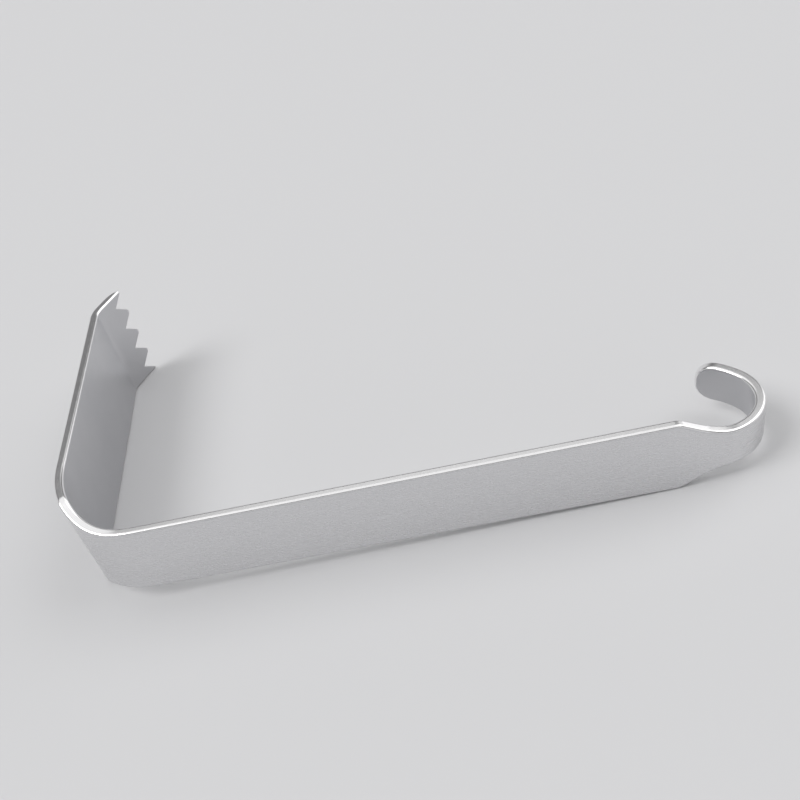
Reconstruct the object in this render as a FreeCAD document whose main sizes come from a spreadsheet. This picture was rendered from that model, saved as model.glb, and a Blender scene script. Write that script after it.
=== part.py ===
import FreeCAD, Part
import math
import os
import Sketcher

# Handheld surgical retractor, bent from one strip of stainless steel.
# Body frame: X along the handle towards the hook, Y from the handle towards the toothed lip,
# Z across the strip. The handle's front face lies at Y = 0 and the strip is centred on Z = 0.

NODE = "retractor"

# Driving dimensions in millimetres and degrees: alias, value, what it is
SIZES = [
    ("strip_thickness", 3.0, "thickness of the steel strip"),
    ("blade_width", 35.7, "width of the blade and of the lip"),
    ("handle_width", 24.5, "width of the handle"),
    ("hook_width", 12.5, "width of the hook"),
    ("handle_length", 165.8, "straight handle between the bend and the hook"),
    ("shoulder_distance", 154.0, "from the bend to the corner of the shoulders"),
    ("shoulder_angle", 29.4, "slope of each shoulder to the handle"),
    ("shoulder_round", 5.5, "rounding of the shoulder's corner"),
    ("shoulder_hollow", 22.0, "radius of the hollow between shoulder and hook"),
    ("bend_inside_radius", 17.8, "inside radius of the middle of the bend between handle and blade"),
    ("bend_turn", 54.0, "angle of the middle of the bend"),
    ("ease_inside_radius", 34.5, "inside radius where the bend runs out into handle and blade"),
    ("handle_ease_turn", 11.4, "angle of the run-out at the handle"),
    ("blade_ease_turn", 25.3, "angle of the run-out at the blade"),
    ("flare_start", 5.4, "from the end of the handle to the flare, seen square to the bend"),
    ("flare_hollow", 34.0, "radius of the flare beside the handle"),
    ("flare_round", 4.0, "radius of the flare beside the blade"),
    ("blade_length", 73.9, "straight length of the blade"),
    ("lip_inside_radius", 8.0, "inside radius of the bend between blade and lip"),
    ("lip_turn", 31.5, "angle of the lip to the blade"),
    ("lip_length", 10.1, "straight length of the lip"),
    ("lip_edge", 0.7, "thickness left at the teeth by the grinding"),
    ("grind_length", 9.0, "length of the ground outer side of the lip"),
    ("grind_radius", 20.0, "radius of the ground side"),
    ("tooth_spaces", 4, "number of V notches"),
    ("tooth_depth", 4.9, "depth of the notches"),
    ("tooth_land", 1.2, "flat left on the tip of a tooth before it is rounded"),
    ("tooth_round", 1.2, "rounding of the tips of the teeth"),
    ("lip_corner", 1.0, "rounding of the lip's two outer corners"),
    ("hook_inside_radius", 11.3, "inside radius of the hook"),
    ("hook_turn", 126.6, "angle of the hook's main arc"),
    ("hook_end_radius", 22.9, "inside radius of the hook's last stretch"),
    ("hook_end_turn", 32.1, "angle of the hook's last stretch"),
    ("hook_tip_round", 5.5, "rounding of the two corners at the hook's end"),
    ("edge_round", 0.8, "rounding of the long edges"),
]

doc = FreeCAD.newDocument("HandheldRetractor")
sheet = doc.addObject("Spreadsheet::Sheet", "Sizes")
for row, (alias, value, meaning) in enumerate(SIZES, start=1):
    sheet.set("A%d" % row, meaning)
    sheet.set("B%d" % row, str(value))
    sheet.setAlias("B%d" % row, alias)
doc.recompute()


def size(alias):
    return float(sheet.get(alias))


def derive(alias, formula):
    """Adds a cell that follows from the driving dimensions."""
    row = len(SIZES) + 2
    while sheet.getContents("B%d" % row):
        row += 1
    sheet.set("A%d" % row, alias)
    sheet.set("B%d" % row, "=" + formula)
    sheet.setAlias("B%d" % row, alias)
    sheet.recompute()
    return size(alias)


# Directions in the side view, in degrees from X
ease_side = derive("ease_side", "270 - handle_ease_turn")
mid_side = derive("mid_side", "ease_side - bend_turn")
blade_side = derive("blade_side", "mid_side - blade_ease_turn")
lip_side = derive("lip_side", "blade_side - lip_turn")
half_turn = derive("half_turn", "(270 - blade_side) / 2")

body = doc.addObject("PartDesign::Body", "Body")
body.Label = NODE


def plane(role):
    for feature in body.Origin.OriginFeatures:
        if feature.Role == role:
            return feature


def new_sketch(name, role):
    sketch = body.newObject("Sketcher::SketchObject", name)
    sketch.AttachmentSupport = (plane(role), [""])
    sketch.MapMode = "FlatFace"
    return sketch


def bind(sketch, constraint, formula):
    """Adds a dimension to a sketch and ties it to the sheet."""
    index = sketch.addConstraint(constraint)
    sketch.setExpression("Constraints[%d]" % index, formula)
    return index


def finish(sketch):
    doc.recompute()
    if sketch.solve() != 0:
        raise RuntimeError("the sketch %s has no solution" % sketch.Name)


def check_cut(feature, before):
    doc.recompute()
    if not body.Shape.Volume < before - 0.01:
        raise RuntimeError("%s removes nothing" % feature.Name)


def towards(angle, length=1.0):
    a = math.radians(angle)
    return FreeCAD.Vector(length * math.cos(a), length * math.sin(a), 0)


def arc(centre, radius, start, end):
    circle = Part.Circle(centre, FreeCAD.Vector(0, 0, 1), radius)
    return Part.ArcOfCircle(circle, math.radians(start), math.radians(end))


def line(start, end):
    return Part.LineSegment(start, end)


def point(x, y):
    return FreeCAD.Vector(x, y, 0)


# Which point of a line or an arc a constraint takes
START, END, CENTRE = range(1, 4)

# Side view of the bent strip: two parallel outlines, the inner one with the named radii
thick = size("strip_thickness")
bend_r = size("bend_inside_radius")
ease_r = size("ease_inside_radius")
lip_r = size("lip_inside_radius")
hook_r = size("hook_inside_radius")
end_r = size("hook_end_radius")
hook_side = size("hook_turn") - 90
end_side = hook_side + size("hook_end_turn")

handle_ease_c = point(0, thick + ease_r)
bend_c = handle_ease_c + towards(ease_side, ease_r - bend_r)
blade_ease_c = bend_c + towards(mid_side, bend_r - ease_r)
blade_start = blade_ease_c + towards(blade_side, ease_r)
blade_run = towards(blade_side - 90, size("blade_length"))
lip_c = blade_start + blade_run - towards(blade_side, lip_r)
lip_run = towards(lip_side - 90, size("lip_length"))
hook_c = point(size("handle_length"), thick + hook_r)
end_c = hook_c + towards(hook_side, hook_r - end_r)

LIP, LIP_BEND, BLADE, BLADE_EASE, BEND, HANDLE_EASE, HANDLE, HOOK, HOOK_END = range(9)
OUT = 9


def outline(offset):
    """One long side of the strip, from the lip's end to the hook's end."""
    bends = [
        arc(lip_c, lip_r + offset, lip_side, blade_side),
        arc(blade_ease_c, ease_r + offset, blade_side, mid_side),
        arc(bend_c, bend_r + offset, mid_side, ease_side),
        arc(handle_ease_c, ease_r + offset, ease_side, 270),
        arc(hook_c, hook_r + offset, 270, 360 + hook_side),
        arc(end_c, end_r + offset, hook_side, end_side),
    ]
    lip = line(bends[0].StartPoint + lip_run, bends[0].StartPoint)
    blade = line(bends[0].EndPoint, bends[1].StartPoint)
    handle = line(bends[3].EndPoint, bends[4].StartPoint)
    return [lip, bends[0], blade, bends[1], bends[2], bends[3], handle, bends[4], bends[5]]


profile = new_sketch("SideProfile", "XY_Plane")
inner = outline(0)
outer = outline(thick)
profile.addGeometry(inner + outer, False)

# Consecutive pieces of each side run on smoothly
for side in (0, OUT):
    for piece in range(LIP, HOOK_END):
        profile.addConstraint(Sketcher.Constraint("Tangent", side + piece, END, side + piece + 1, START))

# Both sides of a bend lie one thickness apart
for piece, radius in (
    (LIP_BEND, "lip_inside_radius"),
    (BLADE_EASE, "ease_inside_radius"),
    (BEND, "bend_inside_radius"),
    (HANDLE_EASE, "ease_inside_radius"),
    (HOOK, "hook_inside_radius"),
    (HOOK_END, "hook_end_radius"),
):
    bind(profile, Sketcher.Constraint("Radius", piece, inner[piece].Radius), "Sizes." + radius)
    bind(profile, Sketcher.Constraint("Radius", OUT + piece, outer[piece].Radius),
         "Sizes.%s + Sizes.strip_thickness" % radius)

# Each turn is the same on both sides
for piece, turn in (
    (LIP_BEND, "lip_turn"),
    (BLADE_EASE, "blade_ease_turn"),
    (BEND, "bend_turn"),
    (HANDLE_EASE, "handle_ease_turn"),
    (HOOK, "hook_turn"),
    (HOOK_END, "hook_end_turn"),
):
    for side in (0, OUT):
        bind(profile, Sketcher.Constraint("Angle", side + piece, math.radians(size(turn))),
             "Sizes.%s * 1 deg" % turn)

# Straight stretches, also the same on both sides
for piece, length in ((LIP, "lip_length"), (BLADE, "blade_length"), (HANDLE, "handle_length")):
    for side in (0, OUT):
        bind(profile, Sketcher.Constraint("Distance", side + piece, size(length)), "Sizes." + length)

# The handle's front face starts at the origin and runs along X, its rear face lies behind it
profile.addConstraint([
    Sketcher.Constraint("Coincident", OUT + HANDLE, START, -1, 1),
    Sketcher.Constraint("Horizontal", OUT + HANDLE),
    Sketcher.Constraint("Horizontal", HANDLE),
    Sketcher.Constraint("PointOnObject", HANDLE, START, -2),
])
bind(profile, Sketcher.Constraint("DistanceY", -1, 1, HANDLE, START, thick), "Sizes.strip_thickness")

# Square ends close the outline
ends = profile.addGeometry([
    line(outer[LIP].StartPoint, inner[LIP].StartPoint),
    line(inner[HOOK_END].EndPoint, outer[HOOK_END].EndPoint),
], False)
profile.addConstraint([
    Sketcher.Constraint("Coincident", ends[0], START, OUT + LIP, START),
    Sketcher.Constraint("Coincident", ends[0], END, LIP, START),
    Sketcher.Constraint("Coincident", ends[1], START, HOOK_END, END),
    Sketcher.Constraint("Coincident", ends[1], END, OUT + HOOK_END, END),
])
finish(profile)

strip = body.newObject("PartDesign::Pad", "Strip")
strip.Profile = profile
strip.SideType = "Symmetric"
strip.setExpression("Length", "Sizes.blade_width")
doc.recompute()


def closed(sketch, count):
    """Joins pieces 0 to count - 1 of a sketch end to start into one loop."""
    for index in range(count):
        sketch.addConstraint(Sketcher.Constraint("Coincident", index, END, (index + 1) % count, START))


# Flare of the strip from the handle's width to the blade's, seen square to the bend.
# The view turns with the bend, so the handle's edge and the blade's edge are both level in it.
flare = new_sketch("FlareOutline", "XZ_Plane")
ACROSS_VIEW = FreeCAD.Vector(0, 1, 0)
flare.AttachmentOffset = FreeCAD.Placement(point(0, 0), FreeCAD.Rotation(ACROSS_VIEW, -half_turn))
flare.setExpression("AttachmentOffset.Rotation.Angle", "-Sizes.half_turn * 1 deg")
low = size("handle_width") / 2
high = size("blade_width") / 2
hollow = size("flare_hollow")
crest = size("flare_round")
sweep = math.acos(1 - (high - low) / (hollow + crest))
begin = -size("flare_start")
reach = size("handle_length")
hollow_c = point(begin, low + hollow)
crest_c = hollow_c + towards(270 - math.degrees(sweep), hollow + crest)
above = high + thick
top = crest_c + point(0, crest)
flare.addGeometry([
    arc(hollow_c, hollow, 270 - math.degrees(sweep), 270),
    line(point(begin, low), point(reach, low)),
    line(point(reach, low), point(reach, above)),
    line(point(reach, above), point(top.x, above)),
    line(point(top.x, above), top),
    arc(crest_c, crest, 90 - math.degrees(sweep), 90),
], False)
flare.addConstraint([
    Sketcher.Constraint("Tangent", 0, END, 1, START),
    Sketcher.Constraint("Coincident", 1, END, 2, START),
    Sketcher.Constraint("Coincident", 2, END, 3, START),
    Sketcher.Constraint("Coincident", 3, END, 4, START),
    Sketcher.Constraint("Coincident", 4, END, 5, END),
    Sketcher.Constraint("Tangent", 5, START, 0, START),
    Sketcher.Constraint("Horizontal", 1),
    Sketcher.Constraint("Vertical", 2),
    Sketcher.Constraint("Horizontal", 3),
    Sketcher.Constraint("Vertical", 4),
    Sketcher.Constraint("Vertical", 5, CENTRE, 5, END),
])
bind(flare, Sketcher.Constraint("Radius", 0, hollow), "Sizes.flare_hollow")
bind(flare, Sketcher.Constraint("Radius", 5, crest), "Sizes.flare_round")
bind(flare, Sketcher.Constraint("DistanceX", 1, START, -1, 1, -begin), "Sizes.flare_start")
bind(flare, Sketcher.Constraint("DistanceY", -1, 1, 1, START, low), "Sizes.handle_width / 2")
bind(flare, Sketcher.Constraint("DistanceY", -1, 1, 5, END, high), "Sizes.blade_width / 2")
bind(flare, Sketcher.Constraint("DistanceY", -1, 1, 3, START, above),
     "Sizes.blade_width / 2 + Sizes.strip_thickness")
bind(flare, Sketcher.Constraint("DistanceX", -1, 1, 2, START, reach), "Sizes.handle_length")
finish(flare)

before = body.Shape.Volume
flare_cut = body.newObject("PartDesign::Pocket", "FlareCut")
flare_cut.Profile = flare
flare_cut.SideType = "Symmetric"
flare_cut.Type = "ThroughAll"
check_cut(flare_cut, before)

# Shoulders: the handle narrows to the hook's width over a slope between two arcs, seen from the front
shoulder = new_sketch("ShoulderOutline", "XZ_Plane")
high = size("handle_width") / 2
low = size("hook_width") / 2
slope = size("shoulder_angle")
crest = size("shoulder_round")
hollow = size("shoulder_hollow")
corner = size("shoulder_distance")
half = math.tan(math.radians(slope / 2))
foot = corner + (high - low) / math.tan(math.radians(slope))
crest_c = point(corner - crest * half, high - crest)
hollow_c = point(foot + hollow * half, low + hollow)
right = size("handle_length") + size("hook_inside_radius") + 2 * thick
above = high + thick
shoulder.addGeometry([
    arc(crest_c, crest, 90 - slope, 90),
    line(crest_c + towards(90 - slope, crest), hollow_c + towards(270 - slope, hollow)),
    arc(hollow_c, hollow, 270 - slope, 270),
    line(point(hollow_c.x, low), point(right, low)),
    line(point(right, low), point(right, above)),
    line(point(right, above), point(crest_c.x, above)),
    line(point(crest_c.x, above), point(crest_c.x, high)),
], False)
mark = shoulder.addGeometry(Part.Point(point(corner, high)), True)
shoulder.addConstraint([
    Sketcher.Constraint("Tangent", 0, START, 1, START),
    Sketcher.Constraint("Tangent", 1, END, 2, START),
    Sketcher.Constraint("Tangent", 2, END, 3, START),
    Sketcher.Constraint("Coincident", 3, END, 4, START),
    Sketcher.Constraint("Coincident", 4, END, 5, START),
    Sketcher.Constraint("Coincident", 5, END, 6, START),
    Sketcher.Constraint("Coincident", 6, END, 0, END),
    Sketcher.Constraint("Horizontal", 3),
    Sketcher.Constraint("Vertical", 4),
    Sketcher.Constraint("Horizontal", 5),
    Sketcher.Constraint("Vertical", 6),
    Sketcher.Constraint("Vertical", 0, CENTRE, 0, END),
    Sketcher.Constraint("PointOnObject", mark, 1, 1),
])
bind(shoulder, Sketcher.Constraint("Radius", 0, crest), "Sizes.shoulder_round")
bind(shoulder, Sketcher.Constraint("Radius", 2, hollow), "Sizes.shoulder_hollow")
bind(shoulder, Sketcher.Constraint("Angle", 0, math.radians(slope)), "Sizes.shoulder_angle * 1 deg")
bind(shoulder, Sketcher.Constraint("DistanceY", -1, 1, 0, END, high), "Sizes.handle_width / 2")
bind(shoulder, Sketcher.Constraint("DistanceY", -1, 1, mark, 1, high), "Sizes.handle_width / 2")
bind(shoulder, Sketcher.Constraint("DistanceX", -1, 1, mark, 1, corner), "Sizes.shoulder_distance")
bind(shoulder, Sketcher.Constraint("DistanceY", -1, 1, 3, START, low), "Sizes.hook_width / 2")
bind(shoulder, Sketcher.Constraint("DistanceY", -1, 1, 5, START, above),
     "Sizes.handle_width / 2 + Sizes.strip_thickness")
bind(shoulder, Sketcher.Constraint("DistanceX", -1, 1, 4, START, right),
     "Sizes.handle_length + Sizes.hook_inside_radius + 2 * Sizes.strip_thickness")
finish(shoulder)

# The cut reaches from the handle's front face to the height of the hook's centre
before = body.Shape.Volume
shoulder_cut = body.newObject("PartDesign::Pocket", "ShoulderCut")
shoulder_cut.Profile = shoulder
shoulder_cut.SideType = "Two sides"
shoulder_cut.Type = "Length"
shoulder_cut.Type2 = "Length"
shoulder_cut.setExpression("Length", "Sizes.strip_thickness + Sizes.hook_inside_radius")
shoulder_cut.setExpression("Length2", "Sizes.strip_thickness")
check_cut(shoulder_cut, before)

# Beyond that height the hook has its narrow width everywhere
narrow = new_sketch("HookOutline", "XZ_Plane")
narrow.AttachmentOffset = FreeCAD.Placement(FreeCAD.Vector(0, 0, -thick - hook_r), FreeCAD.Rotation())
narrow.setExpression("AttachmentOffset.Base.z", "-Sizes.strip_thickness - Sizes.hook_inside_radius")
left = size("handle_length") - 2 * hook_r
narrow.addGeometry([
    line(point(left, low), point(right, low)),
    line(point(right, low), point(right, above)),
    line(point(right, above), point(left, above)),
    line(point(left, above), point(left, low)),
], False)
closed(narrow, 4)
narrow.addConstraint([
    Sketcher.Constraint("Horizontal", 0),
    Sketcher.Constraint("Vertical", 1),
    Sketcher.Constraint("Horizontal", 2),
    Sketcher.Constraint("Vertical", 3),
])
bind(narrow, Sketcher.Constraint("DistanceY", -1, 1, 0, START, low), "Sizes.hook_width / 2")
bind(narrow, Sketcher.Constraint("DistanceY", -1, 1, 2, START, above),
     "Sizes.handle_width / 2 + Sizes.strip_thickness")
bind(narrow, Sketcher.Constraint("DistanceX", -1, 1, 0, START, left),
     "Sizes.handle_length - 2 * Sizes.hook_inside_radius")
bind(narrow, Sketcher.Constraint("DistanceX", -1, 1, 1, START, right),
     "Sizes.handle_length + Sizes.hook_inside_radius + 2 * Sizes.strip_thickness")
finish(narrow)

before = body.Shape.Volume
narrow_cut = body.newObject("PartDesign::Pocket", "HookCut")
narrow_cut.Profile = narrow
narrow_cut.setExpression("Length", "2 * Sizes.hook_inside_radius + Sizes.strip_thickness")
check_cut(narrow_cut, before)

# The lower edge is cut like the upper one
before = body.Shape.Volume
lower = body.newObject("PartDesign::Mirrored", "LowerEdge")
lower.Originals = [flare_cut, shoulder_cut, narrow_cut]
lower.MirrorPlane = (plane("XY_Plane"), [""])
body.Tip = lower
check_cut(lower, before)


def edges_where(test):
    return ["Edge%d" % number for number, edge in enumerate(body.Shape.Edges, start=1) if test(edge)]


def is_straight(edge, way):
    if not isinstance(edge.Curve, Part.Line):
        return False
    return edge.Curve.Direction.cross(way).Length < 1e-6


# The hook's end is rounded off: its two corners run through the thickness
hook_tip = derive("hook_tip", "hook_turn + hook_end_turn")
tip_way = towards(hook_tip - 90)


def at_hook_end(edge):
    if not is_straight(edge, tip_way) or abs(edge.Length - thick) > 1e-4:
        return False
    return edge.CenterOfMass.x > size("shoulder_distance") / 2


tip = body.newObject("PartDesign::Fillet", "HookTip")
tip.Base = (lower, edges_where(at_hook_end))
tip.setExpression("Radius", "min(Sizes.hook_tip_round; 0.49 * Sizes.hook_width)")
doc.recompute()

# All long edges are rounded; each rounding follows its edge from the lip to the hook
HANDLE_WAY = FreeCAD.Vector(1, 0, 0)


def along_handle(edge):
    return is_straight(edge, HANDLE_WAY) and edge.Length > size("shoulder_distance") / 2


rounding = body.newObject("PartDesign::Fillet", "LongEdges")
rounding.Base = (tip, edges_where(along_handle))
rounding.setExpression("Radius", "Sizes.edge_round")
doc.recompute()

# The outer side of the lip is ground to a thin edge, seen from the side
lip_way = derive("lip_way", "lip_side - 90")
outward = towards(lip_side)
onward = towards(lip_way)
lip_end = inner[LIP].StartPoint
edge_left = size("lip_edge")
ground = size("grind_length")
thin = lip_end + outward * edge_left
full = lip_end + outward * thick - onward * ground
chord = thin - full
side_way = point(-chord.y, chord.x) / chord.Length
if side_way.dot(outward) < 0:
    side_way = side_way * -1
grind_r = size("grind_radius")
grind_c = (thin + full) / 2 - side_way * math.sqrt(grind_r ** 2 - (chord.Length / 2) ** 2)


def bearing(end):
    return math.degrees(math.atan2(end.y - grind_c.y, end.x - grind_c.x))


def middle_of(curve):
    return curve.value((curve.FirstParameter + curve.LastParameter) / 2)


def outside_line(sketch, source, piece):
    """Brings a line of another sketch in as a reference; also says which of its ends is the lip's."""
    middle = middle_of(source.Geometry[piece])
    for number, edge in enumerate(source.Shape.Edges, start=1):
        if (edge.CenterOfMass - middle).Length < 1e-6:
            sketch.addExternal(source.Name, "Edge%d" % number)
    index = len(sketch.ExternalGeo) - 1
    fresh = sketch.ExternalGeo[index]
    near = START if (fresh.StartPoint - middle).dot(onward) > 0 else END
    return -index - 1, near


grind = new_sketch("GroundSide", "XY_Plane")
INNER_LIP, inner_end = outside_line(grind, profile, LIP)
OUTER_LIP, outer_end = outside_line(grind, profile, OUT + LIP)
LIP_FRONT = outside_line(grind, profile, ends[0])[0]
grind.addGeometry([
    arc(grind_c, grind_r, bearing(thin), bearing(full)),
    line(full, full + outward * thick),
    line(full + outward * thick, thin + onward * thick + outward * (2 * thick - edge_left)),
    line(thin + onward * thick + outward * (2 * thick - edge_left), thin + onward * thick),
    line(thin + onward * thick, thin),
], False)
closed(grind, 5)
grind.addConstraint([
    Sketcher.Constraint("PointOnObject", 0, START, LIP_FRONT),
    Sketcher.Constraint("PointOnObject", 0, END, OUTER_LIP),
    Sketcher.Constraint("Parallel", 1, LIP_FRONT),
    Sketcher.Constraint("Parallel", 2, INNER_LIP),
    Sketcher.Constraint("Parallel", 3, LIP_FRONT),
    Sketcher.Constraint("Parallel", 4, INNER_LIP),
])
bind(grind, Sketcher.Constraint("Radius", 0, grind_r), "Sizes.grind_radius")
bind(grind, Sketcher.Constraint("Distance", 0, START, INNER_LIP, inner_end, edge_left), "Sizes.lip_edge")
bind(grind, Sketcher.Constraint("Distance", 0, END, OUTER_LIP, outer_end, ground), "Sizes.grind_length")
bind(grind, Sketcher.Constraint("Distance", 1, thick), "Sizes.strip_thickness")
bind(grind, Sketcher.Constraint("Distance", 4, thick), "Sizes.strip_thickness")
finish(grind)

before = body.Shape.Volume
grind_cut = body.newObject("PartDesign::Pocket", "GroundLip")
grind_cut.Profile = grind
grind_cut.SideType = "Symmetric"
grind_cut.Type = "ThroughAll"
check_cut(grind_cut, before)

# V notches leave a row of teeth along the lip
for alias, turn, start in (
    ("lip_end_x", "cos", ""),
    ("lip_end_y", "sin", "strip_thickness + ease_inside_radius + "),
):
    derive(alias, start + (
        "(ease_inside_radius - bend_inside_radius) * {0}(ease_side)"
        " + (bend_inside_radius - ease_inside_radius) * {0}(mid_side)"
        " + (ease_inside_radius - lip_inside_radius) * {0}(blade_side)"
        " + blade_length * {0}(blade_side - 90)"
        " + lip_inside_radius * {0}(lip_side)"
        " + lip_length * {0}(lip_way)"
    ).format(turn))
pitch = derive("tooth_pitch", "blade_width / tooth_spaces")
mouth = derive("notch_mouth", "tooth_pitch - tooth_land")
first = derive("first_notch", "(blade_width - tooth_pitch) / 2")
deep = size("tooth_depth")



def lip_sketch(name):
    """A sketch on the lip's inner face, its first axis along the lip, its origin in the middle of the lip's end."""
    sketch = new_sketch(name, "XZ_Plane")
    sketch.AttachmentOffset = FreeCAD.Placement(FreeCAD.Vector(lip_end.x, 0, -lip_end.y),
                                                FreeCAD.Rotation(ACROSS_VIEW, lip_way))
    sketch.setExpression("AttachmentOffset.Base.x", "Sizes.lip_end_x")
    sketch.setExpression("AttachmentOffset.Base.z", "-Sizes.lip_end_y")
    sketch.setExpression("AttachmentOffset.Rotation.Angle", "Sizes.lip_way * 1 deg")
    return sketch


# The lip's two outer corners are rounded off
corners = lip_sketch("LipCorners")
corner_r = size("lip_corner")
edge_z = size("blade_width") / 2
for first, up in ((0, 1), (5, -1)):
    centre = point(-corner_r, up * (edge_z - corner_r))
    foot, head = point(0, centre.y), point(-corner_r, up * edge_z)
    far_foot, far_head = point(thick, centre.y), point(-corner_r, up * (edge_z + thick))
    start_angle, end_angle = (0, 90) if up > 0 else (-90, 0)
    corners.addGeometry([
        arc(centre, corner_r, start_angle, end_angle),
        line(head, far_head),
        line(far_head, point(thick, far_head.y)),
        line(point(thick, far_head.y), far_foot),
        line(far_foot, foot),
    ], False)
    at_foot, at_head = (START, END) if up > 0 else (END, START)
    corners.addConstraint([
        Sketcher.Constraint("Coincident", first, at_head, first + 1, START),
        Sketcher.Constraint("Coincident", first + 1, END, first + 2, START),
        Sketcher.Constraint("Coincident", first + 2, END, first + 3, START),
        Sketcher.Constraint("Coincident", first + 3, END, first + 4, START),
        Sketcher.Constraint("Coincident", first + 4, END, first, at_foot),
        Sketcher.Constraint("Vertical", first + 1),
        Sketcher.Constraint("Horizontal", first + 2),
        Sketcher.Constraint("Vertical", first + 3),
        Sketcher.Constraint("Horizontal", first + 4),
        Sketcher.Constraint("PointOnObject", first, at_foot, -2),
        Sketcher.Constraint("Vertical", first, CENTRE, first, at_head),
        Sketcher.Constraint("Horizontal", first, CENTRE, first, at_foot),
    ])
    bind(corners, Sketcher.Constraint("Radius", first, corner_r), "Sizes.lip_corner")
    bind(corners, Sketcher.Constraint("DistanceX", first + 4, END, first + 4, START, thick), "Sizes.strip_thickness")
    low_end, high_end = ((-1, 1), (first, at_head)) if up > 0 else ((first, at_head), (-1, 1))
    bind(corners, Sketcher.Constraint("DistanceY", *low_end, *high_end, edge_z), "Sizes.blade_width / 2")
    low_end, high_end = ((-1, 1), (first + 1, END)) if up > 0 else ((first + 1, END), (-1, 1))
    bind(corners, Sketcher.Constraint("DistanceY", *low_end, *high_end, edge_z + thick),
         "Sizes.blade_width / 2 + Sizes.strip_thickness")
finish(corners)

before = body.Shape.Volume
corner_cut = body.newObject("PartDesign::Pocket", "LipCornerCut")
corner_cut.Profile = corners
corner_cut.SideType = "Symmetric"
corner_cut.setExpression("Length", "4 * Sizes.strip_thickness")
check_cut(corner_cut, before)

notch = lip_sketch("NotchOutline")
notch.addGeometry([
    line(point(-deep, first), point(0, first - mouth / 2)),
    line(point(0, first - mouth / 2), point(thick, first - mouth / 2)),
    line(point(thick, first - mouth / 2), point(thick, first + mouth / 2)),
    line(point(thick, first + mouth / 2), point(0, first + mouth / 2)),
    line(point(0, first + mouth / 2), point(-deep, first)),
], False)
closed(notch, 5)
notch.addConstraint([
    Sketcher.Constraint("Horizontal", 1),
    Sketcher.Constraint("Vertical", 2),
    Sketcher.Constraint("Horizontal", 3),
    Sketcher.Constraint("PointOnObject", 0, END, -2),
    Sketcher.Constraint("PointOnObject", 3, END, -2),
])
bind(notch, Sketcher.Constraint("DistanceX", 0, START, -1, 1, deep), "Sizes.tooth_depth")
bind(notch, Sketcher.Constraint("DistanceY", -1, 1, 0, START, first), "Sizes.first_notch")
bind(notch, Sketcher.Constraint("DistanceY", -1, 1, 0, END, first - mouth / 2),
     "Sizes.first_notch - Sizes.notch_mouth / 2")
bind(notch, Sketcher.Constraint("DistanceY", 2, mouth), "Sizes.notch_mouth")
bind(notch, Sketcher.Constraint("DistanceX", 1, thick), "Sizes.strip_thickness")
finish(notch)

before = body.Shape.Volume
notch_cut = body.newObject("PartDesign::Pocket", "Notch")
notch_cut.Profile = notch
notch_cut.SideType = "Symmetric"
notch_cut.setExpression("Length", "4 * Sizes.strip_thickness")
check_cut(notch_cut, before)

before = body.Shape.Volume
notches = body.newObject("PartDesign::LinearPattern", "Notches")
notches.Originals = [notch_cut]
notches.Direction = (plane("Z_Axis"), [""])
notches.Reversed = True
notches.Mode = "Spacing"
notches.setExpression("Offset", "Sizes.tooth_pitch")
notches.setExpression("Occurrences", "Sizes.tooth_spaces")
body.Tip = notches
check_cut(notches, before)

# The tips of the teeth are rounded where their flanks meet the flat land


def at_tooth_tip(edge):
    middle = edge.CenterOfMass
    if not is_straight(edge, outward) or abs((middle - lip_end).dot(onward)) > 1e-4:
        return False
    return abs(middle.z) < size("blade_width") / 2 - size("tooth_land")


derive("land_limit", "0.98 * tooth_land / 2 / tan(atan(2 * tooth_depth / (tooth_pitch - tooth_land)) / 2)")
teeth = body.newObject("PartDesign::Fillet", "ToothTips")
teeth.Base = (notches, edges_where(at_tooth_tip))
teeth.setExpression("Radius", "min(Sizes.tooth_round; Sizes.land_limit)")
doc.recompute()

# At rest the strip stands on the lower corners of the lip and of the shoulder, the handle a little above
rest_tilt = derive("rest_tilt", "asin((blade_width - handle_width) / 2 /"
                   " (shoulder_distance - shoulder_round * tan(shoulder_angle / 2) - lip_end_x))")
body.Placement = FreeCAD.Placement(point(0, 0), FreeCAD.Rotation(ACROSS_VIEW, rest_tilt))
box = body.Shape.optimalBoundingBox(False)
body.Placement.Base = FreeCAD.Vector(-box.Center.x, -box.Center.y, -box.ZMin)
doc.recompute()

for item in doc.Objects:
    if "Invalid" in item.State or "Error" in item.State:
        raise RuntimeError("%s failed: %s" % (item.Name, item.State))
if body.Shape.isNull() or not body.Shape.isValid() or len(body.Shape.Solids) != 1:
    raise RuntimeError("the retractor is not one valid solid")

os.makedirs("parts", exist_ok=True)
body.Shape.exportStep("parts/%s.step" % NODE)
print(NODE, "volume %.1f mm3," % body.Shape.Volume, "box", body.Shape.optimalBoundingBox(False))
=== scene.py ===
import math

import bpy
from mathutils import Matrix, Vector


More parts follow.
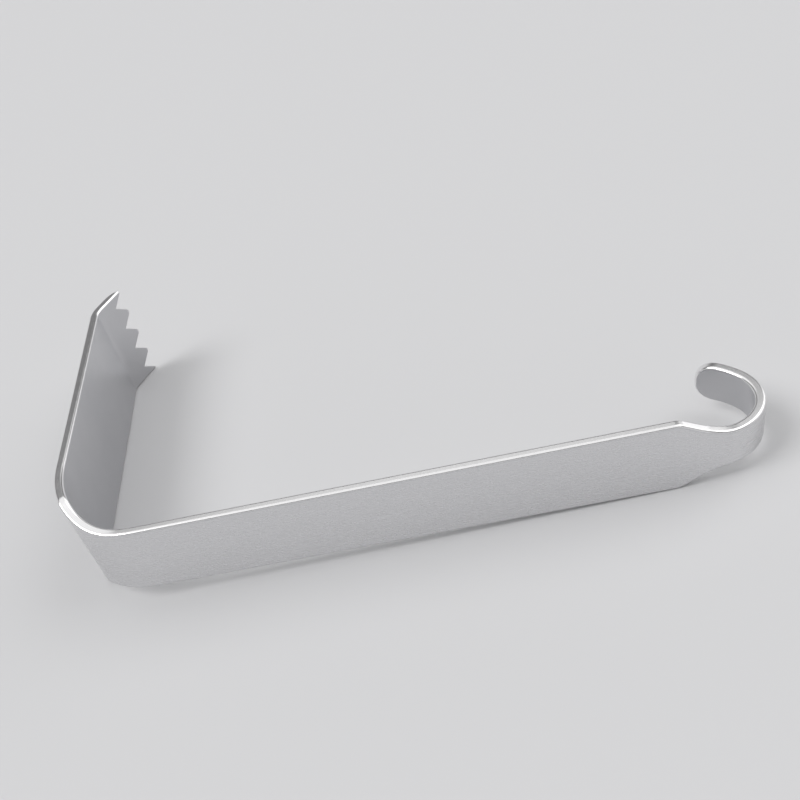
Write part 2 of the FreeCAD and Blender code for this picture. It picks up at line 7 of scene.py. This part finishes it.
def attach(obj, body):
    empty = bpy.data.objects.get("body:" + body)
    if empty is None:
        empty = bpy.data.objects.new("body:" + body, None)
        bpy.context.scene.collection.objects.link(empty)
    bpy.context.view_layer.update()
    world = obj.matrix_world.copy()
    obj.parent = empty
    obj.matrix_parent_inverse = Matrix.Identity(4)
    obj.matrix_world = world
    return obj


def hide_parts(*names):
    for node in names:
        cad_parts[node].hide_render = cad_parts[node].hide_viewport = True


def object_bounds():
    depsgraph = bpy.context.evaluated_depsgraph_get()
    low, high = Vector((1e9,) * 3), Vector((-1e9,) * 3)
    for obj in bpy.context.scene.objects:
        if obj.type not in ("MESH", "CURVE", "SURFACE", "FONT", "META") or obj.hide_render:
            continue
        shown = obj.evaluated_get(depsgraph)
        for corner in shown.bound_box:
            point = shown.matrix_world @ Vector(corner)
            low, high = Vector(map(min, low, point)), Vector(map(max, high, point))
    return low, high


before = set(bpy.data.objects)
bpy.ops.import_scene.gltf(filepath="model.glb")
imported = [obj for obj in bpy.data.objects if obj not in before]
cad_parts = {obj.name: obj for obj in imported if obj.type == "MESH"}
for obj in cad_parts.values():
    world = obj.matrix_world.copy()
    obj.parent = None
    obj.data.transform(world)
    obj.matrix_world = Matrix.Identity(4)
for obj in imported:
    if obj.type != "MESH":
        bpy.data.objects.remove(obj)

CAD_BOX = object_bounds()
MM = 0.001

# ---------------------------------------------------------------- node maths


class Value:
    """A socket in a node graph; sums on it add Math nodes."""

    def __init__(self, graph, socket):
        self.graph = graph
        self.socket = socket

    def __add__(self, other):
        return self.graph.maths("ADD", self, other)

    def __radd__(self, other):
        return self.graph.maths("ADD", other, self)

    def __sub__(self, other):
        return self.graph.maths("SUBTRACT", self, other)

    def __rsub__(self, other):
        return self.graph.maths("SUBTRACT", other, self)

    def __mul__(self, other):
        return self.graph.maths("MULTIPLY", self, other)

    def __rmul__(self, other):
        return self.graph.maths("MULTIPLY", other, self)

    def __truediv__(self, other):
        return self.graph.maths("DIVIDE", self, other)

    def __rtruediv__(self, other):
        return self.graph.maths("DIVIDE", other, self)

    def __neg__(self):
        return self.graph.maths("MULTIPLY", self, -1.0)


class Graph:
    """Adds nodes to a geometry or shader tree."""

    def __init__(self, tree):
        self.tree = tree

    def node(self, kind, settings=None, sockets=None):
        """A node of this kind: its settings first, then the values or links of its sockets."""
        new = self.tree.nodes.new(kind)
        for name, setting in (settings or {}).items():
            setattr(new, name, setting)
        for key, value in (sockets or {}).items():
            socket = new.inputs[key]
            if isinstance(value, Value):
                self.tree.links.new(value.socket, socket)
            elif isinstance(value, bpy.types.NodeSocket):
                self.tree.links.new(value, socket)
            elif isinstance(value, bpy.types.Node):
                self.tree.links.new(value.outputs[0], socket)
            else:
                socket.default_value = value
        return new

    def out(self, kind, settings=None, sockets=None, output=0):
        """The same, but gives one output of the node as a value."""
        return Value(self, self.node(kind, settings, sockets).outputs[output])

    def maths(self, operation, *terms):
        return self.out("ShaderNodeMath", {"operation": operation}, dict(enumerate(terms)))

    def clamp(self, value, low, high):
        return self.maths("MINIMUM", self.maths("MAXIMUM", value, low), high)

    def share(self, value, start, length):
        """How much of a stretch lies behind value, from 0 to 1."""
        return self.clamp((value - start) / length, 0.0, 1.0)

    def sin(self, angle):
        return self.maths("SINE", angle) if isinstance(angle, Value) else math.sin(angle)

    def cos(self, angle):
        return self.maths("COSINE", angle) if isinstance(angle, Value) else math.cos(angle)

    def tan(self, angle):
        return self.maths("TANGENT", angle)

    def root(self, value):
        return self.maths("SQRT", self.maths("MAXIMUM", value, 0.0))


# ---------------------------------------------------------------- the bent strip

LENGTHS = {
    "strip thickness": 3.0,
    "blade width": 35.7,
    "handle width": 24.5,
    "hook width": 12.5,
    "handle length": 165.8,
    "shoulder distance": 154.0,
    "shoulder round": 5.5,
    "shoulder hollow": 22.0,
    "bend inside radius": 17.8,
    "ease inside radius": 34.5,
    "flare start": 5.4,
    "flare hollow": 34.0,
    "flare round": 4.0,
    "blade length": 73.9,
    "lip inside radius": 8.0,
    "lip length": 10.1,
    "lip edge": 0.7,
    "grind length": 9.0,
    "grind radius": 20.0,
    "tooth depth": 4.9,
    "tooth land": 1.2,
    "tooth round": 1.2,
    "tooth corner": 1.0,
    "hook inside radius": 11.3,
    "hook end radius": 22.9,
    "tip round": 5.5,
    "edge round": 0.8,
}
ANGLES = {
    "shoulder angle": 29.4,
    "bend turn": 54.0,
    "handle ease turn": 11.4,
    "blade ease turn": 25.3,
    "lip turn": 31.5,
    "hook turn": 126.6,
    "hook end turn": 32.1,
}
COUNTS = {"tooth spaces": 4}
REST_TILT = math.radians(1.9141)

# Rows of vertices along the strip, one count for each stretch
ROWS_TOOTH = 6
ROWS_LIP = 6
ROWS_LIP_BEND = 16
ROWS_BLADE = 30
ROWS_BLADE_EASE = 26
ROWS_BEND = 60
ROWS_HANDLE_EASE = 12
ROWS_HANDLE = 60
ROWS_SHOULDER = 44
ROWS_HOOK = 70
ROWS_HOOK_END = 24
ROWS_TIP = 14
ROWS_TIP_FLAT = 1

# Columns of vertices around the section
COLUMNS_NOSE = 4                                     # on the rounding of half a tooth's tip
COLUMNS_FLANK = 2                                    # on the flank beside it
COLUMNS_TOOTH = 2 * (COLUMNS_NOSE + COLUMNS_FLANK)
COLUMNS_ROUND = 8
WALL_STEPS = (0.12, 0.76, 0.12)                      # shares of the edge wall's height between its columns
COLUMNS_WALL = len(WALL_STEPS)

SUPPORT = 0.25 * MM           # a narrow column keeps the flat side flat beside its rounding
BEHIND_NOTCHES = 0.6 * MM     # the rows of the teeth end this far behind the notches
BEFORE_SHOULDER = 6.0 * MM    # the rows of the shoulder start this far before it
GROUND_RIM = 0.2 * MM         # the lip's own edge counts as ground this far in
MERGE_DISTANCE = 0.002 * MM   # the grid's two long sides and its ends fall together
CREASE = math.radians(33)     # edges sharper than this stay crisp


def walk(g, run, heading, way, pieces):
    """Follows straight and round pieces (radius, length or turn) for a run; gives the place and heading there."""
    x = y = start = 0.0
    here = heading
    for radius, extent in pieces:
        length = extent if radius is None else radius * extent
        done = g.clamp(run - start, 0.0, length)
        if radius is None:
            x = done * g.cos(heading) + x
            y = done * g.sin(heading) + y
        else:
            turned = done / radius * way
            x = x + (g.sin(turned + heading) - g.sin(heading)) * radius * way
            y = y - (g.cos(turned + heading) - g.cos(heading)) * radius * way
            here = here + turned
            heading = heading + extent * way
        start = length + start
    return x, y, here


def narrowing(g, place, inset, crest_x, crest, hollow_x, hollow, slope, high):
    """Half width where a wide stretch narrows over a round crest, a slope and a hollow, less an inset."""
    crest = crest - inset
    hollow = hollow + inset
    on_crest = g.clamp(place - crest_x, 0.0, crest * g.sin(slope))
    slope_start = crest_x + crest * g.sin(slope)
    slope_end = hollow_x - hollow * g.sin(slope)
    on_slope = g.maths("MAXIMUM", g.maths("MINIMUM", place, slope_end) - slope_start, 0.0)
    before_end = g.clamp(hollow_x - place, 0.0, hollow * g.sin(slope))
    width = high - inset - crest + g.root(crest * crest - on_crest * on_crest)
    width = width - on_slope * g.tan(slope)
    return width - g.root(hollow * hollow - before_end * before_end) + hollow * g.cos(slope)


def strip_tree():
    """Geometry Nodes for a strip that is cut to its outline, ground and notched at the lip, and bent.

    A flat grid is wrapped round the strip's section. Each vertex gets its run along the strip from its row,
    and its depth in the strip and its share of the width from its column.
    """
    tree = bpy.data.node_groups.new("bent_strip", "GeometryNodeTree")
    tree.is_modifier = True
    g = Graph(tree)
    sockets = {}
    kinds = (
        (LENGTHS, "NodeSocketFloat", "DISTANCE"),
        (ANGLES, "NodeSocketFloat", "ANGLE"),
        (COUNTS, "NodeSocketInt", "NONE"),
    )
    for names, kind, subtype in kinds:
        for name in names:
            sockets[name] = tree.interface.new_socket(name, in_out="INPUT", socket_type=kind)
            sockets[name].subtype = subtype
    sockets["steel"] = tree.interface.new_socket("steel", in_out="INPUT", socket_type="NodeSocketMaterial")
    tree.interface.new_socket("strip", in_out="OUTPUT", socket_type="NodeSocketGeometry")
    given = tree.nodes.new("NodeGroupInput")

    def size(name):
        return Value(g, given.outputs[name])

    thick = size("strip thickness")
    edge = size("edge round")
    blade_half = size("blade width") / 2
    handle_half = size("handle width") / 2
    hook_half = size("hook width") / 2
    pitch = size("blade width") / size("tooth spaces")

    # A grid of whole steps: x counts rows along the strip, y counts columns around its section
    stretches = [
        ROWS_TOOTH, ROWS_LIP, ROWS_LIP_BEND, ROWS_BLADE, ROWS_BLADE_EASE, ROWS_BEND, ROWS_HANDLE_EASE,
        ROWS_HANDLE, ROWS_SHOULDER, ROWS_HOOK, ROWS_HOOK_END, ROWS_TIP, ROWS_TIP_FLAT,
    ]
    rows = 1 + sum(stretches)
    face = size("tooth spaces") * COLUMNS_TOOTH + 2
    half_loop = face + (2 * COLUMNS_ROUND + COLUMNS_WALL)
    grid = g.node("GeometryNodeMeshGrid", None, {
        "Size X": float(rows), "Size Y": half_loop * 2,
        "Vertices X": rows + 1, "Vertices Y": half_loop * 2 + 1,
    })
    place = g.node("ShaderNodeSeparateXYZ", None, {0: g.node("GeometryNodeInputPosition")})
    row = g.maths("ROUND", Value(g, place.outputs["X"]) + rows / 2)
    column = g.maths("ROUND", Value(g, place.outputs["Y"]) + half_loop)

    # Around the section: one flat side, a rounding, the edge wall, a rounding; then the same turned over.
    # k counts the columns of one half.
    turned_over = g.maths("GREATER_THAN", column, half_loop - 0.5)
    k = column - turned_over * half_loop
    wall_start = face + COLUMNS_ROUND
    rounding = g.share(k, face, COLUMNS_ROUND) - g.share(k, wall_start + COLUMNS_WALL, COLUMNS_ROUND)
    wall = sum(g.share(k, wall_start + number, 1.0) * part for number, part in enumerate(WALL_STEPS))
    bevel = rounding * (math.pi / 2)
    inset = edge * (1 - g.sin(bevel))
    rise = edge * (1 - g.cos(bevel))
    depth = rise + wall * (thick - rise * 2)
    depth = depth + turned_over * (thick - depth * 2)
    side = 1 - turned_over * 2

    # Across the flat side, columns gather on the tips of the teeth
    tan_flank = size("tooth depth") / ((pitch - size("tooth land")) / 2)
    flank = g.maths("ARCTANGENT", tan_flank)
    nose = size("tooth round")
    nose_start = size("tooth land") / 2 - nose * g.tan(flank / 2)
    nose_end = nose_start + nose * g.sin(flank)
    step = g.clamp(k - 1, 0.0, face - 2) / COLUMNS_TOOTH
    tooth = g.maths("FLOOR", step)
    within = step - tooth
    beside = (1 - g.maths("ABSOLUTE", within * 2 - 1)) * (COLUMNS_TOOTH / 2)
    from_tip = nose_end * g.share(beside, 0.0, COLUMNS_NOSE)
    from_tip = from_tip + (pitch / 2 - nose_end) * g.share(beside, COLUMNS_NOSE, COLUMNS_FLANK)
    falling = g.maths("GREATER_THAN", within, 0.5)
    across_blank = tooth * pitch + from_tip + falling * (pitch - from_tip * 2) - blade_half
    flat_half = blade_half - edge
    share_across = across_blank / flat_half
    limit = 1 - SUPPORT / flat_half
    share_across = g.clamp(share_across, -limit, limit)
    first_column = 1 - g.share(k, 0.0, 1.0)
    last_column = g.share(k, face - 1, 1.0)
    share_across = share_across - (1 - limit) * first_column + (1 - limit) * last_column

    # Along the strip: the run starts at the lip's end, which the notches push back
    lip_run = size("lip length")
    tooth_root = size("tooth depth") + BEHIND_NOTCHES
    at_lip = side * share_across * (blade_half - inset)
    spot = g.maths("FLOORED_MODULO", at_lip + blade_half, pitch)
    to_tip = g.maths("MINIMUM", spot, pitch - spot)
    past_start = g.maths("MAXIMUM", to_tip - nose_start, 0.0)
    on_nose = g.maths("MINIMUM", past_start, nose * g.sin(flank))
    notch = nose - g.root(nose * nose - on_nose * on_nose) + (past_start - on_nose) * tan_flank
    corner = size("tooth corner")
    in_corner = g.maths("MAXIMUM", corner - (blade_half - g.maths("ABSOLUTE", at_lip)), 0.0)
    notch = g.maths("MAXIMUM", notch, corner - g.root(corner * corner - in_corner * in_corner))

    shoulder_start = size("shoulder distance")
    handle_length = size("handle length")
    before_shoulder = shoulder_start - BEFORE_SHOULDER
    tip_round = size("tip round")
    lengths = [
        lip_run - tooth_root,
        size("lip inside radius") * size("lip turn"),
        size("blade length"),
        size("ease inside radius") * size("blade ease turn"),
        size("bend inside radius") * size("bend turn"),
        size("ease inside radius") * size("handle ease turn"),
        before_shoulder,
        handle_length - before_shoulder,
        size("hook inside radius") * size("hook turn"),
        size("hook end radius") * size("hook end turn") - tip_round,
    ]
    teeth_done = g.share(row, 1.0, ROWS_TOOTH)
    run = notch * (1 - teeth_done) + tooth_root * teeth_done
    reached = 1 + ROWS_TOOTH
    for count, length in zip(stretches[1:], lengths):
        run = run + length * g.share(row, float(reached), float(count))
        reached += count
    tip_turn = g.share(row, float(reached), ROWS_TIP) * (math.pi / 2)
    tip_flat = g.share(row, float(reached + ROWS_TIP), ROWS_TIP_FLAT)
    run = run + (tip_round - inset) * g.sin(tip_turn)

    # The lip's outer side is ground to a thin edge along a slightly domed arc
    grind = size("grind length")
    lip_edge = size("lip edge")
    taken_off = thick - lip_edge
    chord = g.root(grind * grind + taken_off * taken_off)
    radius = size("grind radius")
    to_chord = g.root(radius * radius - chord * chord / 4)
    centre_x = grind / 2 + taken_off / chord * to_chord
    centre_y = (thick + lip_edge) / 2 - grind / chord * to_chord
    in_grind = g.clamp(run, 0.0, grind) - centre_x
    ground = g.maths("MINIMUM", thick, centre_y + g.root(radius * radius - in_grind * in_grind))
    ground_here = g.maths("GREATER_THAN", depth, ground)
    depth = g.maths("MINIMUM", depth, ground)

    # The first row folds the two sides together and closes the lip's edge
    closing = g.clamp(1 - row, 0.0, 1.0)
    depth = depth + closing * (ground / 2 - depth)

    # Bending: from the handle's start one way to the hook, the other way to the lip
    forward = [
        (None, handle_length),
        (size("hook inside radius"), size("hook turn")),
        (size("hook end radius"), size("hook end turn")),
    ]
    backward = [
        (size("ease inside radius"), size("handle ease turn")),
        (size("bend inside radius"), size("bend turn")),
        (size("ease inside radius"), size("blade ease turn")),
        (None, size("blade length")),
        (size("lip inside radius"), size("lip turn")),
        (None, lip_run),
    ]
    lip_to_handle = sum(lengths[1:6], lip_run)
    along = run - lip_to_handle
    forward_x, forward_y, forward_heading = walk(g, along, 0.0, 1.0, forward)
    backward_x, backward_y, backward_heading = walk(g, -along, math.pi, -1.0, backward)
    heading = forward_heading + backward_heading - math.pi
    x = forward_x + backward_x + depth * g.sin(heading)
    y = thick + forward_y + backward_y - depth * g.cos(heading)

    # Width: the flare is seen square to the bend, the shoulders from the front
    bend_sum = size("handle ease turn") + size("bend turn") + size("blade ease turn")
    half_turn = bend_sum / 2
    seen = x * g.cos(half_turn) - y * g.sin(half_turn)
    hollow = size("flare hollow")
    crest = size("flare round")
    sweep = g.maths("ARCCOSINE", 1 - (blade_half - handle_half) / (hollow + crest))
    flare_end = -size("flare start")
    flare = narrowing(g, seen, inset, flare_end - (hollow + crest) * g.sin(sweep), crest,
                      flare_end, hollow, sweep, blade_half)
    slope = size("shoulder angle")
    round_off = g.tan(slope / 2)
    shoulder_foot = shoulder_start + (handle_half - hook_half) / g.tan(slope)
    shoulder_crest = size("shoulder round")
    shoulder_hollow = size("shoulder hollow")
    # The hook comes back beside the shoulder, so its run is added to keep it narrow there
    past_quarter = g.maths("MAXIMUM", along - handle_length - size("hook inside radius"), 0.0)
    shoulder = narrowing(g, x + past_quarter * 10, inset,
                         shoulder_start - shoulder_crest * round_off, shoulder_crest,
                         shoulder_foot + shoulder_hollow * round_off, shoulder_hollow, slope, handle_half)
    half_width = flare + shoulder - (handle_half - inset)
    half_width = (half_width - (tip_round - inset) * (1 - g.cos(tip_turn))) * (1 - tip_flat)
    across = side * share_across * half_width

    strip = grid.outputs["Mesh"]
    marks = {
        "along": along,
        "across": across,
        "rounded": g.clamp(rounding * 2.0, 0.0, 1.0),
        "ground": g.maths("MAXIMUM", ground_here, 1 - g.share(run, 0.0, GROUND_RIM)),
    }
    for name, mark in marks.items():
        strip = g.node("GeometryNodeStoreNamedAttribute", {"data_type": "FLOAT", "domain": "POINT"},
                       {"Geometry": strip, "Name": name, "Value": mark}).outputs[0]
    spot = g.node("ShaderNodeCombineXYZ", None, {"X": x, "Y": y, "Z": across})
    strip = g.node("GeometryNodeSetPosition", None, {"Geometry": strip, "Position": spot}).outputs[0]
    strip = g.node("GeometryNodeMergeByDistance", None,
                   {"Geometry": strip, "Distance": MERGE_DISTANCE}).outputs[0]
    strip = g.node("GeometryNodeFlipFaces", None, {"Mesh": strip}).outputs[0]
    angle = g.out("GeometryNodeInputMeshEdgeAngle", None, None)
    flat = g.node("FunctionNodeCompare", {"data_type": "FLOAT", "operation": "LESS_THAN"},
                  {"A": angle, "B": CREASE})
    strip = g.node("GeometryNodeSetShadeSmooth", {"domain": "FACE"}, {"Geometry": strip}).outputs[0]
    strip = g.node("GeometryNodeSetShadeSmooth", {"domain": "EDGE"},
                   {"Geometry": strip, "Shade Smooth": flat}).outputs[0]
    strip = g.node("GeometryNodeRealizeInstances", None, {"Geometry": strip}).outputs[0]
    strip = g.node("GeometryNodeSetMaterial", None, {"Geometry": strip, "Material": given.outputs["steel"]})
    result = tree.nodes.new("NodeGroupOutput")
    tree.links.new(strip.outputs[0], result.inputs["strip"])
    return tree, sockets


def build_strip(steel):
    """The retractor's one piece, as a plain mesh in the frame."""
    tree, sockets = strip_tree()
    strip = bpy.data.objects.new("retractor_strip", bpy.data.meshes.new("retractor_strip"))
    bpy.context.scene.collection.objects.link(strip)
    modifier = strip.modifiers.new("bent_strip", "NODES")
    modifier.node_group = tree
    for name, value in LENGTHS.items():
        modifier[sockets[name].identifier] = value * MM
    for name, value in ANGLES.items():
        modifier[sockets[name].identifier] = math.radians(value)
    for name, value in {**COUNTS, "steel": steel}.items():
        modifier[sockets[name].identifier] = value
    ready = strip.evaluated_get(bpy.context.evaluated_depsgraph_get())
    mesh = bpy.data.meshes.new_from_object(ready)
    strip.modifiers.clear()
    strip.data = mesh
    mesh.name = "retractor_strip"

    # It rests on its lower edges, in the middle of the frame's box
    mesh.transform(Matrix.Rotation(REST_TILT, 4, "Y"))
    low, high = (Vector(corner) for corner in CAD_BOX)
    xs, ys, zs = zip(*(v.co for v in mesh.vertices))
    middle = Vector(((max(xs) + min(xs)) / 2, (max(ys) + min(ys)) / 2, min(zs)))
    mesh.transform(Matrix.Translation(Vector(((low.x + high.x) / 2, (low.y + high.y) / 2, low.z)) - middle))
    return strip


# ---------------------------------------------------------------- steel


SATIN = (0.60, 0.60, 0.612, 1.0)
SATIN_CLOUD = (0.55, 0.552, 0.57, 1.0)
POLISHED = (0.86, 0.855, 0.86, 1.0)
DRAWN_OUT = 0.03                   # lines left along the strip: its length counts this much beside its width
GROUND_OUT = 0.04                  # the same for the wheel's lines on the lip
RELIEF = 0.02 * MM                 # height of the finish


def satin_steel():
    """Satin stainless steel with polished rounded edges and a lip ground across its outer side."""
    material = bpy.data.materials.new("satin_steel")
    material.use_nodes = True
    g = Graph(material.node_tree)
    shader = material.node_tree.nodes["Principled BSDF"]
    shader.inputs["Metallic"].default_value = 1.0

    def mark(name):
        return g.out("ShaderNodeAttribute", {"attribute_name": name}, None, "Fac")

    def noise(vector, scale, detail=2.0):
        return g.out("ShaderNodeTexNoise", {"noise_dimensions": "3D"},
                     {"Vector": vector, "Scale": scale, "Detail": detail, "Roughness": 0.55})

    def tint(share, first, second):
        return g.out("ShaderNodeMix", {"data_type": "RGBA"}, {0: share, 6: first, 7: second}, 2)

    here = g.node("ShaderNodeTexCoord").outputs["Object"]
    along, across = mark("along"), mark("across")
    rounded, ground = mark("rounded"), mark("ground")
    strip_place = g.node("ShaderNodeCombineXYZ", None, {"X": along * DRAWN_OUT, "Y": across})
    lip_place = g.node("ShaderNodeCombineXYZ", None, {"X": along * GROUND_OUT, "Y": across})

    blasted = noise(here, 2600.0)                    # grains of the satin finish, about 0.4 mm
    drawn = noise(strip_place, 1400.0)               # faint lines left along the strip by polishing
    cloud = noise(here, 38.0, 3.0)                   # patches a few centimetres wide
    grind_lines = noise(lip_place, 3400.0, 3.0)      # marks of the wheel on the lip
    fray = noise(here, 420.0)                        # the polish ends unevenly beside an edge

    polish = g.clamp((rounded * 1.25 - fray * 0.5) * 1.6, 0.0, 1.0)
    satin_rough = 0.27 + cloud * 0.10 + drawn * 0.05 + blasted * 0.03
    ground_rough = 0.20 + grind_lines * 0.16
    rough = satin_rough + ground * (ground_rough - satin_rough)
    rough = rough + polish * (0.17 + fray * 0.06 - rough)
    colour = tint(g.clamp(cloud * 1.6 - 0.3, 0.0, 1.0), SATIN, SATIN_CLOUD)
    colour = tint(ground * 0.5, colour, POLISHED)
    colour = tint(polish, colour, POLISHED)

    plain = 1 - polish
    height = (blasted * 0.5 + drawn * 0.3) * plain * (1 - ground) + grind_lines * ground * plain
    bump = g.out("ShaderNodeBump", None, {"Strength": 0.12, "Distance": RELIEF, "Height": height}, "Normal")
    for socket, value in (("Base Color", colour), ("Roughness", rough), ("Normal", bump)):
        g.tree.links.new(value.socket, shader.inputs[socket])
    return material


steel = satin_steel()
strip = build_strip(steel)
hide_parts("retractor")
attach(strip, "root")

# ---------------------------------------------------------------- camera

PICTURE = 800                      # the photograph's side, pixels
FOCAL_PIXELS = 1037.0
CENTRE_PIXEL = (373.3, 545.36)     # where the lens axis meets the picture
YAW = math.radians(-13.222)
PITCH = math.radians(47.348)
ROLL = math.radians(21.724)
CAMERA_PLACE = Vector((0.0346, -0.25853, 0.22725))


def build_camera():
    """The photograph's view, with the lens axis off the picture's middle."""
    ahead = Vector((math.sin(YAW) * math.cos(PITCH), math.cos(YAW) * math.cos(PITCH), -math.sin(PITCH)))
    level_right = Vector((math.cos(YAW), -math.sin(YAW), 0.0))
    level_down = ahead.cross(level_right)
    right = math.cos(ROLL) * level_right + math.sin(ROLL) * level_down
    down = math.cos(ROLL) * level_down - math.sin(ROLL) * level_right
    turn = Matrix((right, -down, -ahead)).transposed()
    data = bpy.data.cameras.new("photo_camera")
    data.sensor_width = 36.0
    data.lens = FOCAL_PIXELS / PICTURE * data.sensor_width
    data.shift_x = (PICTURE / 2 - CENTRE_PIXEL[0]) / PICTURE
    data.shift_y = (CENTRE_PIXEL[1] - PICTURE / 2) / PICTURE
    data.clip_start = 0.01
    camera = bpy.data.objects.new("photo_camera", data)
    camera.matrix_world = Matrix.Translation(CAMERA_PLACE) @ turn.to_4x4()
    bpy.context.scene.collection.objects.link(camera)
    bpy.context.scene.camera = camera


build_camera()

# ---------------------------------------------------------------- floor and light


PALE = (0.58, 0.58, 0.588, 1.0)
BACKDROP_TONE = 0.665              # the world near the horizon, as light as the lit floor
ROOM_TONE = 0.15                   # the world overhead


def add_floor():
    mesh = bpy.data.meshes.new("floor")
    half = 6.0
    mesh.from_pydata([(-half, -half, 0), (half, -half, 0), (half, half, 0), (-half, half, 0)], [], [(0, 1, 2, 3)])
    floor = bpy.data.objects.new("floor", mesh)
    bpy.context.scene.collection.objects.link(floor)
    material = bpy.data.materials.new("pale_floor")
    material.use_nodes = True
    shader = material.node_tree.nodes["Principled BSDF"]
    shader.inputs["Base Color"].default_value = PALE
    shader.inputs["Roughness"].default_value = 0.75
    shader.inputs["Specular IOR Level"].default_value = 0.1
    mesh.materials.append(material)


def add_softbox(name, direction, spread, strength):
    """A far softbox in the given direction, as wide as the spread in degrees, that lights all the floor evenly."""
    data = bpy.data.lights.new(name, "SUN")
    data.angle = math.radians(spread)
    data.energy = strength
    lamp = bpy.data.objects.new(name, data)
    lamp.rotation_euler = Vector(direction).to_track_quat("Z", "Y").to_euler()
    bpy.context.scene.collection.objects.link(lamp)


def light_room():
    """A dim room for the steel to mirror, with a low backdrop all round in the floor's own tone."""
    world = bpy.data.worlds.new("studio")
    world.use_nodes = True
    g = Graph(world.node_tree)
    direction = g.node("ShaderNodeTexCoord").outputs["Object"]
    height = g.node("ShaderNodeSeparateXYZ", None, {"Vector": direction}).outputs["Z"]
    tone = g.node("ShaderNodeMapRange", {"interpolation_type": "SMOOTHSTEP"}, {
        "Value": height, "From Min": 0.22, "From Max": 0.55, "To Min": BACKDROP_TONE, "To Max": ROOM_TONE,
    })
    background = world.node_tree.nodes["Background"]
    background.inputs["Color"].default_value = (1.0, 1.0, 1.01, 1.0)
    g.tree.links.new(tone.outputs["Result"], background.inputs["Strength"])
    bpy.context.scene.world = world


add_floor()
add_softbox("softbox_above", (0.0, 0.0, 1.0), 95.0, 1.42)
add_softbox("softbox_left", (-0.6, -0.14, 0.79), 30.0, 1.22)
add_softbox("softbox_right", (0.72, 0.26, 0.64), 58.0, 0.8)
add_softbox("softbox_low_right", (0.72, 0.66, 0.21), 16.0, 0.03)
light_room()
bpy.context.scene.view_settings.view_transform = "Standard"
